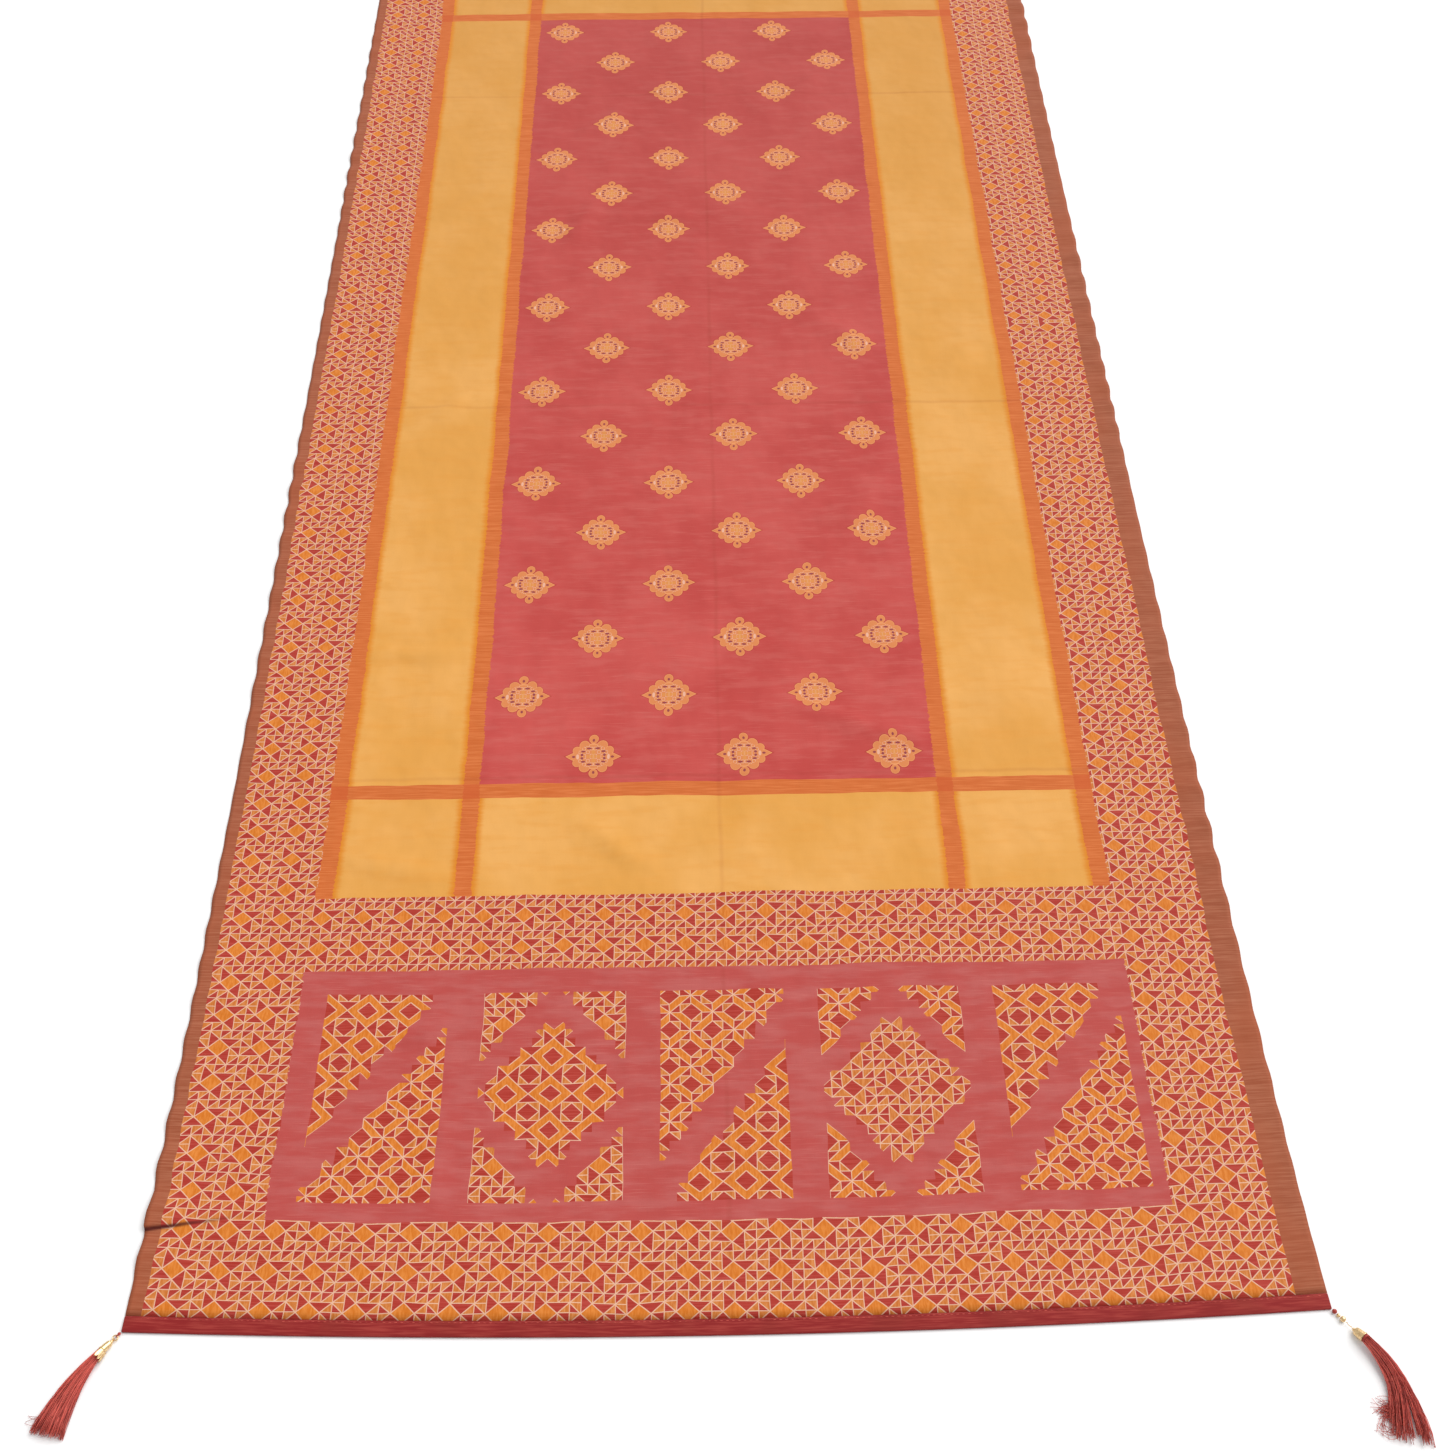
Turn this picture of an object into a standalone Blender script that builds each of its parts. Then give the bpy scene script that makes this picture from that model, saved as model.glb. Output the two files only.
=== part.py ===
"""A dupatta stole laid flat: one woven length of cloth, a turned hem at each end and a tassel at
each corner.

Metres, +Z up. +X runs across the cloth and +Y along it, with the shown end at -Y. The origin lies
on the floor under the middle of the cloth. The far tassels are the near ones turned by half a turn
about Z, so the origin is also the middle of the footprint."""

import math
import random

import bmesh
import bpy
from mathutils import Matrix, Vector

# The cloth
CLOTH_WIDTH = 0.900
CLOTH_LENGTH = 2.333  # over both hems
WALL = 0.0012
END_BOW = 0.011  # the middle of each end reaches this much further out than its corners
BOW_REACH = 0.40  # distance from the end over which the bow dies out
CORNER_FLARE = 0.011  # each corner is drawn outwards by this much
FLARE_REACH = 0.22

# The waves along the two side edges
WAVE_PERIOD = 0.0385
WAVE_HEIGHT = 0.0034
WAVE_SWAY = 0.0011  # how far a wave moves the edge sideways
WAVE_REACH = 0.046  # distance from the edge over which a wave dies out
WAVE_END_FADE = 0.045  # waves die out over this length before a hem
TUCK_FROM_END = 0.083  # a pinched tuck in the left edge, near the shown end
TUCK_HEIGHT = 0.0042

# The grid that the cloth is drawn on
ROWS_PER_WAVE = 4
EDGE_COLUMNS = (0.0, 0.017, WAVE_REACH)  # distances from a side edge
MIDDLE_COLUMNS = 8
ROWS_MERGED = 8  # rows between the waved edges that make one flat face

# The hems
HEM_WIDTH = 0.0125
HEM_WALL = 0.0024
HEM_ROUND = 0.0007
HEM_STEPS = 22
SEAM_GAP = 0.0003

# What fastens a tassel to its corner: a knot and a ring in two small loops, or a knot, two beads
# and a link
PIECE_GAP = 0.0003
RING_RADIUS = 0.0020
RING_WIRE = 0.0005
LOOP_RADIUS = 0.0012
LOOP_WIRE = 0.00036
LOOP_HEIGHT = 0.0020
LOOP_FROM_KNOT = 0.0019
LOOP_SUNK = 0.0010  # how far a cap's loop reaches into its neck
LOOPED_KNOT_RADIUS = 0.0013
KNOT_RADIUS = 0.0020
SMALL_BEAD_RADIUS = 0.0015
BEAD_RADIUS = 0.0023
LINK_RADIUS = 0.0005
LINK_LENGTH = 0.0068

# The cap and the skirt of threads
CAP_LENGTH = 0.0100
CAP_NECK_RADIUS = 0.0014
CAP_LIP = 0.0005  # the cap's rim reaches past the head of the skirt by this much
HEAD_DEPTH = 0.0018
STRANDS_ACROSS = 6  # each skirt has this number squared
STRAND_STEPS = 3
STRAND_THICKNESS = 0.0007
STRAND_INSET = 0.04  # gap round a strand's root, as a share of the head's radius
STRAND_FLOOR_GAP = 0.0004
STRAND_JITTER = 0.0060  # how unevenly long the strands are
SKIRT_END_HEIGHT = 0.0062

# Each tassel of the shown end: the side of the cloth, how it is fastened, the compass angle of its
# cap and the turn of its skirt in degrees, the radius of its cap and the skirt's length and width.
TASSELS = (
    dict(name="left", side=-1, holder="ring", heading=-128, turn=26, cap=0.0032, skirt=0.068, fan=0.027),
    dict(name="right", side=1, holder="beads", heading=-52, turn=-48, cap=0.0040, skirt=0.082, fan=0.025),
)

# Each finish: colour, roughness and metallic value
FINISHES = {
    "woven red and gold": ((0.53, 0.13, 0.09), 0.75, 0.0),
    "maroon hem": ((0.26, 0.035, 0.035), 0.8, 0.0),
    "maroon thread": ((0.25, 0.025, 0.02), 0.6, 0.0),
    "gilt brass": ((0.85, 0.62, 0.28), 0.25, 1.0),
}


def material_for(piece, finish):
    """A Principled material of the piece's own."""
    colour, roughness, metallic = FINISHES[finish]
    material = bpy.data.materials.new(f"{piece} {finish}")
    material.use_nodes = True
    shader = material.node_tree.nodes["Principled BSDF"]
    shader.inputs["Base Color"].default_value = (*colour, 1.0)
    shader.inputs["Roughness"].default_value = roughness
    shader.inputs["Metallic"].default_value = metallic
    material.diffuse_color = (*colour, 1.0)
    return material


def mesh_from(bm, name, finish):
    """Turns a bmesh into a mesh with its own material."""
    mesh = bpy.data.meshes.new(name)
    bm.to_mesh(mesh)
    bm.free()
    mesh.materials.append(material_for(name, finish))
    return mesh


def placed(mesh, name, collection, parent=None):
    """An object that shows the mesh."""
    piece = bpy.data.objects.new(name, mesh)
    collection.objects.link(piece)
    piece.parent = parent
    return piece


def eased(value):
    """Eases 0..1 in and out."""
    value = min(max(value, 0.0), 1.0)
    return value * value * (3.0 - 2.0 * value)


def plan_point(across, along):
    """Where a point of the square-cut cloth lies once spread out: corners drawn out, ends bowed."""
    half_width, half_length = CLOTH_WIDTH / 2, CLOTH_LENGTH / 2
    from_end = half_length - abs(along)
    flare = CORNER_FLARE * math.exp(-from_end / FLARE_REACH)
    middle = 1.0 - (across / half_width) ** 2
    bow = END_BOW * middle * (1.0 - eased(from_end / BOW_REACH))
    return across * (1.0 + flare / half_width), along + math.copysign(bow, along)


def wave_at(along, side):
    """Phase and strength of the edge wave, uneven along the cloth and unlike on its two sides."""
    phase = 2 * math.pi * along / WAVE_PERIOD
    phase += 1.5 * math.sin(5.3 * along + side) + 0.9 * math.sin(13.0 * along + 2.0 * side)
    strength = 0.55 + 0.30 * math.sin(9.1 * along + 1.7 * side) + 0.15 * math.sin(23.0 * along - side)
    from_hem = CLOTH_LENGTH / 2 - abs(along) - HEM_WIDTH
    return phase, strength * eased(from_hem / WAVE_END_FADE)


def lift_and_sway(across, along, row_step):
    """Height of the underside over the floor and sideways shift near the waved side edges."""
    side = math.copysign(1.0, across)
    from_edge = CLOTH_WIDTH / 2 - abs(across)
    fade = max(0.0, 1.0 - from_edge / WAVE_REACH) ** 1.4
    phase, strength = wave_at(along, side)
    lift = WAVE_HEIGHT * strength * fade * 0.5 * (1.0 + math.sin(phase))
    if side < 0:
        from_tuck = abs(along + CLOTH_LENGTH / 2 - TUCK_FROM_END)
        lift += TUCK_HEIGHT * fade**0.7 * max(0.0, 1.0 - from_tuck / row_step)
    return lift, side * WAVE_SWAY * strength * fade * math.cos(phase)


def make_cloth(collection):
    """The woven length: a flat middle, and side edges that lift off the floor in small waves."""
    inner_length = CLOTH_LENGTH - 2 * (HEM_WIDTH + SEAM_GAP)
    rows = round(inner_length / WAVE_PERIOD * ROWS_PER_WAVE / ROWS_MERGED) * ROWS_MERGED
    row_step = inner_length / rows
    edge_cells = len(EDGE_COLUMNS) - 1
    columns = MIDDLE_COLUMNS + 2 * edge_cells
    middle_width = CLOTH_WIDTH - 2 * WAVE_REACH

    def across_at(column):
        if column > columns / 2:
            return -across_at(columns - column)
        if column < edge_cells:
            return EDGE_COLUMNS[column] - CLOTH_WIDTH / 2
        return ((column - edge_cells) / MIDDLE_COLUMNS - 0.5) * middle_width

    bm = bmesh.new()
    bmesh.ops.create_grid(bm, x_segments=columns, y_segments=rows, size=0.5)
    cell = {}
    for vert in bm.verts:
        column, row = round((vert.co.x + 0.5) * columns), round((vert.co.y + 0.5) * rows)
        cell[vert] = column, row
        across, along = across_at(column), row * row_step - inner_length / 2
        lift, sway = lift_and_sway(across, along, row_step)
        x, y = plan_point(across, along)
        vert.co = (x + sway, y, lift)

    # Between the waved edges the cloth is flat, so most of the rows there are taken out again.
    spare = []
    for edge in bm.edges:
        (column, row), (other_column, other_row) = (cell[vert] for vert in edge.verts)
        flat = edge_cells <= min(column, other_column) and max(column, other_column) <= columns - edge_cells
        if flat and row == other_row and row % ROWS_MERGED:
            spare.append(edge)
    bmesh.ops.dissolve_edges(bm, edges=spare, use_verts=True)

    cloth = placed(mesh_from(bm, "cloth", "woven red and gold"), "cloth", collection)
    wall = cloth.modifiers.new("wall", "SOLIDIFY")
    wall.thickness, wall.offset = WALL, 1.0


def make_hem(name, turn, collection):
    """A turned hem: a strip along the end of the cloth, twice as thick, with rounded long edges."""
    bm = bmesh.new()
    bmesh.ops.create_grid(bm, x_segments=HEM_STEPS, y_segments=1, size=0.5)
    for vert in bm.verts:
        from_end = HEM_WIDTH * (0.5 - vert.co.y)
        vert.co = (*plan_point(vert.co.x * CLOTH_WIDTH, CLOTH_LENGTH / 2 - from_end), 0.0)
    hem = placed(mesh_from(bm, name, "maroon hem"), name, collection)
    hem.rotation_euler.z = turn
    wall = hem.modifiers.new("wall", "SOLIDIFY")
    wall.thickness, wall.offset = HEM_WALL, 1.0
    rounding = hem.modifiers.new("rounding", "BEVEL")
    rounding.width, rounding.segments, rounding.angle_limit = HEM_ROUND, 1, math.radians(60)


def finished(piece, name, finish, fused=None):
    """The mesh of a working piece, fused with a second one if given. The working pieces go."""
    if fused:
        union = piece.modifiers.new("fused", "BOOLEAN")
        union.operation, union.object = "UNION", fused
    bpy.context.view_layer.update()
    evaluated = piece.evaluated_get(bpy.context.evaluated_depsgraph_get())
    mesh = bpy.data.meshes.new_from_object(evaluated)
    mesh.transform(piece.matrix_world)
    mesh.materials.clear()
    mesh.materials.append(material_for(name, finish))
    mesh.shade_smooth()
    mesh.set_sharp_from_angle(angle=math.radians(40))
    for working_piece in filter(None, (piece, fused)):
        bpy.data.objects.remove(working_piece, do_unlink=True)
    return mesh


def wire_ring(place, radius, wire, upright):
    """A ring of round wire. An upright one stands in the plane of the tassel's length."""
    bpy.ops.mesh.primitive_torus_add(
        location=place, rotation=(math.pi / 2 if upright else 0, 0, 0),
        major_radius=radius, minor_radius=wire, major_segments=12, minor_segments=6,
    )
    return bpy.context.object


def ball(x, radius, height=None):
    """A ball on the floor, or with its middle at a height."""
    place = (x, 0, radius if height is None else height)
    bpy.ops.mesh.primitive_uv_sphere_add(location=place, radius=radius, segments=12, ring_count=7)
    return bpy.context.object


def ring_fastening():
    """A knot whose loop holds a level ring. Returns the pieces, the cap's start and the cap's loop."""
    knot_x = PIECE_GAP + LOOPED_KNOT_RADIUS
    loop_x = knot_x + LOOP_FROM_KNOT
    ring_x = loop_x + RING_RADIUS
    cap_loop_x = ring_x + RING_RADIUS
    knot = ball(knot_x, LOOPED_KNOT_RADIUS, LOOP_HEIGHT)
    loop = wire_ring((loop_x, 0, LOOP_HEIGHT), LOOP_RADIUS, LOOP_WIRE, upright=True)
    ring = wire_ring((ring_x, 0, LOOP_HEIGHT), RING_RADIUS, RING_WIRE, upright=False)
    meshes = {
        "knot": finished(knot, "knot", "maroon thread", fused=loop),
        "ring": finished(ring, "ring", "gilt brass"),
    }
    cap_loop = wire_ring((cap_loop_x, 0, LOOP_HEIGHT), LOOP_RADIUS, LOOP_WIRE, upright=True)
    cap_start = Vector((cap_loop_x + LOOP_SUNK, 0, LOOP_HEIGHT))
    return meshes, cap_start, cap_loop


def bead_fastening():
    """A knot, a small bead, a bead and a link in a row. Returns the pieces and the cap's start."""
    knot_x = PIECE_GAP + KNOT_RADIUS
    small_x = knot_x + KNOT_RADIUS + PIECE_GAP + SMALL_BEAD_RADIUS
    bead_x = small_x + SMALL_BEAD_RADIUS + PIECE_GAP + BEAD_RADIUS
    link_x = bead_x + BEAD_RADIUS + PIECE_GAP + LINK_LENGTH / 2
    meshes = {
        "knot": finished(ball(knot_x, KNOT_RADIUS), "knot", "maroon thread"),
        "bead_small": finished(ball(small_x, SMALL_BEAD_RADIUS), "bead_small", "gilt brass"),
        "bead": finished(ball(bead_x, BEAD_RADIUS), "bead", "gilt brass"),
    }
    bpy.ops.mesh.primitive_cylinder_add(
        vertices=10, radius=LINK_RADIUS, depth=LINK_LENGTH,
        location=(link_x, 0, BEAD_RADIUS), rotation=(0, math.pi / 2, 0),
    )
    meshes["link"] = finished(bpy.context.object, "link", "gilt brass")
    return meshes, Vector((link_x + LINK_LENGTH / 2 + PIECE_GAP, 0, BEAD_RADIUS)), None


def cap_outline(radius):
    """Half of a cap's section from its mouth to its neck, as distances from its axis and along it."""
    return (
        (radius, CAP_LENGTH), (radius, 0.92 * CAP_LENGTH), (0.93 * radius, 0.88 * CAP_LENGTH),
        (0.82 * radius, 0.42 * CAP_LENGTH), (0.62 * radius, 0.22 * CAP_LENGTH),
        (CAP_NECK_RADIUS, 0.12 * CAP_LENGTH), (CAP_NECK_RADIUS, 0.0),
    )


def resting_tilt(outline, start_height):
    """The tilt at which a cap whose neck starts at a height just rests on the floor."""
    reaching = [point for point in outline if math.hypot(*point) > start_height]
    return max(math.atan2(*point) - math.asin(start_height / math.hypot(*point)) for point in reaching)


def turned_cap(start, outline, tilt):
    """A cap turned about its own axis, which runs outwards and up from its neck to its mouth."""
    points = [(0.0, 0.0, CAP_LENGTH), *((across, 0.0, along) for across, along in outline), (0.0, 0.0, 0.0)]
    mesh = bpy.data.meshes.new("cap outline")
    mesh.from_pydata(points, [(i, i + 1) for i in range(len(points) - 1)], [])
    cap = placed(mesh, "cap outline", bpy.context.scene.collection)
    turning = cap.modifiers.new("turned", "SCREW")
    turning.axis, turning.steps, turning.render_steps = "Z", 16, 16
    turning.use_merge_vertices, turning.merge_threshold = True, 0.00001
    cap.location = start
    cap.rotation_euler.y = math.pi / 2 - tilt
    return cap


def head_of_skirt(start, outwards, radius):
    """The bound head of the threads, with one small raised face for each strand to grow from.

    Returns the bmesh and those faces, the uppermost layer first and each layer from side to side."""
    bm = bmesh.new()
    bmesh.ops.create_grid(bm, x_segments=STRANDS_ACROSS, y_segments=STRANDS_ACROSS, size=1.0)
    for vert in bm.verts:  # a square drawn onto a round
        u, v = vert.co.x, vert.co.y
        vert.co.x = radius * u * math.sqrt(1 - v * v / 2)
        vert.co.y = radius * v * math.sqrt(1 - u * u / 2)
    raised = bmesh.ops.extrude_face_region(bm, geom=bm.faces[:])["geom"]
    raised_verts = [item for item in raised if isinstance(item, bmesh.types.BMVert)]
    bmesh.ops.translate(bm, vec=(0, 0, HEAD_DEPTH), verts=raised_verts)
    bmesh.ops.recalc_face_normals(bm, faces=bm.faces)
    roots = [face for face in bm.faces if face.normal.z > 0.5]
    roots.sort(key=lambda face: tuple(round(value, 5) for value in face.calc_center_median()))
    bmesh.ops.inset_individual(bm, faces=roots, thickness=STRAND_INSET * radius)

    # So far the head stands on end. Its Z turns outwards, its Y stays level and its -X turns up.
    up = Vector((-outwards.z, 0, outwards.x))
    for vert in bm.verts:
        x, y, z = vert.co
        vert.co = start + outwards * z + Vector((0, y, 0)) - up * x
    return bm, roots


def skirt_of_threads(tassel, start, outwards):
    """The threads of a tassel, fused in its head. They lie on the floor in a fan that turns aside."""
    head_radius = tassel["cap"] - CAP_LIP
    bm, roots = head_of_skirt(start, outwards, head_radius)
    root = start + outwards * HEAD_DEPTH
    turn = math.radians(tassel["turn"])
    turn_radius = tassel["skirt"] / turn
    half = STRAND_THICKNESS / 2
    corners = ((half, -half), (-half, -half), (-half, half), (half, half))
    chance = random.Random(tassel["side"])
    for index, tip in enumerate(roots):
        layer, column = divmod(index, STRANDS_ACROSS)
        depth = (layer + 0.5) / STRANDS_ACROSS
        place = (column + depth) / STRANDS_ACROSS - 0.5
        length = tassel["skirt"] - chance.uniform(0, STRAND_JITTER)
        for step in range(1, STRAND_STEPS + 1):
            share = step / STRAND_STEPS
            angle = share * turn * length / tassel["skirt"]
            sideways = Vector((-math.sin(angle), math.cos(angle), 0))
            width = 2 * head_radius + (tassel["fan"] - 2 * head_radius) * share**1.3
            stack = 2 * root.z * (1 - share) + SKIRT_END_HEIGHT * share
            middle = Vector((root.x + turn_radius * math.sin(angle), turn_radius * (1 - math.cos(angle)), 0))
            middle += sideways * place * width
            middle.z = STRAND_FLOOR_GAP + half + (1 - depth) * stack
            tip = bmesh.ops.extrude_discrete_faces(bm, faces=[tip])["faces"][0]
            centre = tip.calc_center_median()
            clock = {}  # each corner of the tip by its angle about the strand
            for vert in tip.verts:
                arm = vert.co - centre
                clock[-math.atan2(arm.z, arm.dot(sideways)) % math.tau] = vert
            for angle, (aside, up) in zip(sorted(clock), corners):
                clock[angle].co = middle + sideways * aside + Vector((0, 0, up))
    return mesh_from(bm, "skirt", "maroon thread")


def tassel_meshes(tassel):
    """The pieces of one tassel in its own frame: +X out from the corner, the floor at Z = 0."""
    fastening = ring_fastening if tassel["holder"] == "ring" else bead_fastening
    meshes, cap_start, cap_loop = fastening()
    outline = cap_outline(tassel["cap"])
    tilt = resting_tilt(outline, cap_start.z)
    outwards = Vector((math.cos(tilt), 0, math.sin(tilt)))
    cap = turned_cap(cap_start, outline, tilt)
    meshes["cap"] = finished(cap, "cap", "gilt brass", fused=cap_loop)
    mouth = cap_start + outwards * (CAP_LENGTH + PIECE_GAP)
    meshes["skirt"] = skirt_of_threads(tassel, mouth, outwards)
    return meshes


def make_tassels(collection):
    """A tassel at each corner. Those of the far end are the near ones turned by half a turn."""
    for tassel in TASSELS:
        meshes = tassel_meshes(tassel)
        x, y = plan_point(tassel["side"] * CLOTH_WIDTH / 2, -CLOTH_LENGTH / 2)
        far_name = "left" if tassel["name"] == "right" else "right"
        for place, turn in ((f"near_{tassel['name']}", 0.0), (f"far_{far_name}", math.pi)):
            corner = placed(None, f"tassel_{place}", collection)
            corner.location = Matrix.Rotation(turn, 3, "Z") @ Vector((x, y, 0))
            corner.rotation_euler.z = math.radians(tassel["heading"]) + turn
            for kind, mesh in meshes.items():
                placed(mesh, f"{kind}_{place}", collection, parent=corner)


for leftover in list(bpy.data.objects):
    bpy.data.objects.remove(leftover, do_unlink=True)
stole = bpy.data.collections.new("dupatta stole")
bpy.context.scene.collection.children.link(stole)
make_cloth(stole)
make_hem("hem_near", math.pi, stole)
make_hem("hem_far", 0.0, stole)
make_tassels(stole)
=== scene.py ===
import math
import random

import bmesh
import bpy
from mathutils import Matrix, Vector, noise


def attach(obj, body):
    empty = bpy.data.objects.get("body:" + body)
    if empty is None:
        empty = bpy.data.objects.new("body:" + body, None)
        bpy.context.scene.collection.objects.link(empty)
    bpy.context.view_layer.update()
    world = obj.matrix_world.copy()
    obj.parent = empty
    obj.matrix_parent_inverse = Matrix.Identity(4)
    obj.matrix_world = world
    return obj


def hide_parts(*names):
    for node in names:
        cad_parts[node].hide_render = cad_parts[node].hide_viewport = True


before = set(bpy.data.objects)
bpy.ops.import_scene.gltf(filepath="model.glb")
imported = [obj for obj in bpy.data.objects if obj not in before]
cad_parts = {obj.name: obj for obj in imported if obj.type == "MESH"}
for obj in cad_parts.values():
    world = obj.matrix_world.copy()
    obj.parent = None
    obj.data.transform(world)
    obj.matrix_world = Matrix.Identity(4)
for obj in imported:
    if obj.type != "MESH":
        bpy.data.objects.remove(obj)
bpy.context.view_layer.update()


# ---- The cloth ------------------------------------------------------------------------------------
# One loom width of light silk and cotton, laid out flat. Its borders, stripes, blocks and motifs are
# woven in with extra weft and its sides are selvedges. Folding and handling left soft creases in it.

WIDTH, LENGTH = 0.900, 2.333
TOP = 0.0012  # the upper face lies this high where the cloth is flat
CLOTH_THICKNESS = 0.0008
END_BOW, BOW_REACH = 0.011, 0.40
CORNER_FLARE, FLARE_REACH = 0.011, 0.22
HEM_WIDTH, SEAM_GAP = 0.0125, 0.0003
WAVE_PERIOD, WAVE_HEIGHT, WAVE_SWAY, WAVE_REACH, WAVE_END_FADE = 0.0385, 0.0034, 0.0011, 0.046, 0.045
TUCK_FROM_END, TUCK_HEIGHT, TUCK_LEAN = 0.083, 0.0042, 0.18
EDGE_CELLS, EDGE_ZONE, MIDDLE_CELLS, ROWS = 14, 0.050, 92, 336

# The creases that show, each as its two ends (from the left edge, from the near end), half its width
# and its rise, which is below zero for a trough.
CREASES = (
    ((0.322, 0.466), (0.385, 0.412), 0.009, 0.0033), ((0.490, 0.458), (0.538, 0.390), 0.010, -0.0027),
    ((0.325, 0.608), (0.445, 0.694), 0.013, 0.0039), ((0.520, 0.600), (0.650, 0.556), 0.011, 0.0036),
    ((0.112, 0.670), (0.208, 0.677), 0.009, 0.0027), ((0.140, 0.558), (0.174, 0.606), 0.013, -0.0030),
    ((0.236, 0.528), (0.330, 0.590), 0.015, 0.0027), ((0.232, 1.460), (0.276, 1.556), 0.012, -0.0030),
    ((0.296, 1.552), (0.350, 1.618), 0.011, 0.0033), ((0.380, 1.626), (0.470, 1.684), 0.014, 0.0030),
    ((0.472, 1.668), (0.524, 1.492), 0.014, -0.0027), ((0.282, 1.310), (0.316, 1.410), 0.012, 0.0036),
    ((0.436, 1.440), (0.462, 1.316), 0.011, -0.0030), ((0.345, 1.372), (0.465, 1.380), 0.010, 0.0024),
    ((0.118, 1.052), (0.196, 1.094), 0.014, -0.0027), ((0.146, 1.012), (0.170, 1.056), 0.012, 0.0030),
    ((0.705, 1.060), (0.750, 1.128), 0.014, 0.0027), ((0.555, 1.622), (0.626, 1.706), 0.014, 0.0030),
    ((0.170, 0.243), (0.216, 0.264), 0.009, 0.0033), ((0.176, 0.132), (0.224, 0.150), 0.009, -0.0027),
    ((0.212, 0.092), (0.222, 0.185), 0.010, 0.0024), ((0.512, 0.236), (0.532, 0.212), 0.009, -0.0027),
    ((0.560, 0.840), (0.650, 0.905), 0.015, 0.0030), ((0.240, 0.935), (0.330, 0.990), 0.015, -0.0027),
    ((0.700, 0.590), (0.772, 0.640), 0.013, 0.0024), ((0.115, 1.380), (0.200, 1.440), 0.014, 0.0027),
    ((0.690, 1.480), (0.765, 1.550), 0.015, -0.0024), ((0.560, 1.190), (0.640, 1.120), 0.014, 0.0030),
    ((0.120, 0.430), (0.205, 0.405), 0.012, 0.0024), ((0.700, 0.470), (0.770, 0.420), 0.013, -0.0024),
    ((0.230, 2.080), (0.320, 2.020), 0.014, 0.0030), ((0.540, 1.960), (0.630, 2.030), 0.014, -0.0027),
)
CROSS_FOLDS, LONG_FOLD = (0.517, 1.031, 1.638), 0.452  # where it was folded for keeping
FOLD_DEPTH, FOLD_HALF_WIDTH, UNEVEN_LIE = 0.00035, 0.009, 0.00035


def eased(share):
    """Eases 0..1 in and out."""
    share = min(max(share, 0.0), 1.0)
    return share * share * (3.0 - 2.0 * share)


def plan_point(across, along):
    """Where a point of the square-cut cloth lies once spread out: corners drawn out, ends bowed."""
    half_width, half_length = WIDTH / 2, LENGTH / 2
    from_end = half_length - abs(along)
    flare = CORNER_FLARE * math.exp(-from_end / FLARE_REACH)
    middle = 1.0 - (across / half_width) ** 2
    bow = END_BOW * middle * (1.0 - eased(from_end / BOW_REACH))
    return across * (1.0 + flare / half_width), along + math.copysign(bow, along)


def lift_and_sway(across, along):
    """How far a selvedge's ripples and its one tuck lift the cloth, and how far they move it aside."""
    side = math.copysign(1.0, across)
    fade = max(0.0, 1.0 - (WIDTH / 2 - abs(across)) / WAVE_REACH) ** 1.4
    phase = 2 * math.pi * along / WAVE_PERIOD
    phase += 1.5 * math.sin(5.3 * along + side) + 0.9 * math.sin(13.0 * along + 2.0 * side)
    strength = 0.55 + 0.30 * math.sin(9.1 * along + 1.7 * side) + 0.15 * math.sin(23.0 * along - side)
    strength *= eased((LENGTH / 2 - abs(along) - HEM_WIDTH) / WAVE_END_FADE)
    lift = WAVE_HEIGHT * strength * fade * 0.5 * (1.0 + math.sin(phase))
    if side < 0:
        from_edge, from_end = across + WIDTH / 2, along + LENGTH / 2
        past = from_end - TUCK_FROM_END - TUCK_LEAN * from_edge
        slope = math.exp(-past / 0.008) if past > 0 else max(0.0, 1.0 + past / 0.0030)
        lift += TUCK_HEIGHT * max(0.0, 1.0 - from_edge / 0.075) ** 1.1 * slope
    return lift, side * WAVE_SWAY * strength * fade * math.cos(phase)


def crease_rise(across, along):
    """How far the creases and the uneven lie of the cloth raise it, measured from its left near corner."""
    bend = noise.noise(Vector((across * 16, along * 16, 0.0))) * 0.010
    rise = UNEVEN_LIE * noise.noise(Vector((across * 11, along * 8, 3.0)))
    for (start_x, start_y), (end_x, end_y), half, height in CREASES:
        run_x, run_y = end_x - start_x, end_y - start_y
        x, y = across + bend - start_x, along - bend - start_y
        share = (x * run_x + y * run_y) / (run_x**2 + run_y**2)
        if -0.1 < share < 1.1:
            aside = (x * run_y - y * run_x) / math.hypot(run_x, run_y) / half
            rise += height * math.exp(-aside * aside) * (1.0 - (share / 0.6 - 1 / 1.2) ** 2)
    from_folds = [along - from_end for from_end in CROSS_FOLDS] + [across - LONG_FOLD]
    for off in from_folds:
        rise -= FOLD_DEPTH * math.exp(-(((off + 0.3 * bend) / FOLD_HALF_WIDTH) ** 2))
    return rise


def column_place(column):
    """How far a column of the grid lies from the left edge. They are closest near both edges."""
    if column < EDGE_CELLS:
        return EDGE_ZONE * column / EDGE_CELLS
    if column > EDGE_CELLS + MIDDLE_CELLS:
        return WIDTH - EDGE_ZONE * (2 * EDGE_CELLS + MIDDLE_CELLS - column) / EDGE_CELLS
    return EDGE_ZONE + (WIDTH - 2 * EDGE_ZONE) * (column - EDGE_CELLS) / MIDDLE_CELLS


def row_place(row):
    """How far a row of the grid lies from the near end. They are drawn together at the tuck."""
    inset = HEM_WIDTH + SEAM_GAP
    even = inset + (LENGTH - 2 * inset) * row / ROWS
    off = even - TUCK_FROM_END
    return even - 0.8 * off * math.exp(-((off / 0.022) ** 2))


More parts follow.
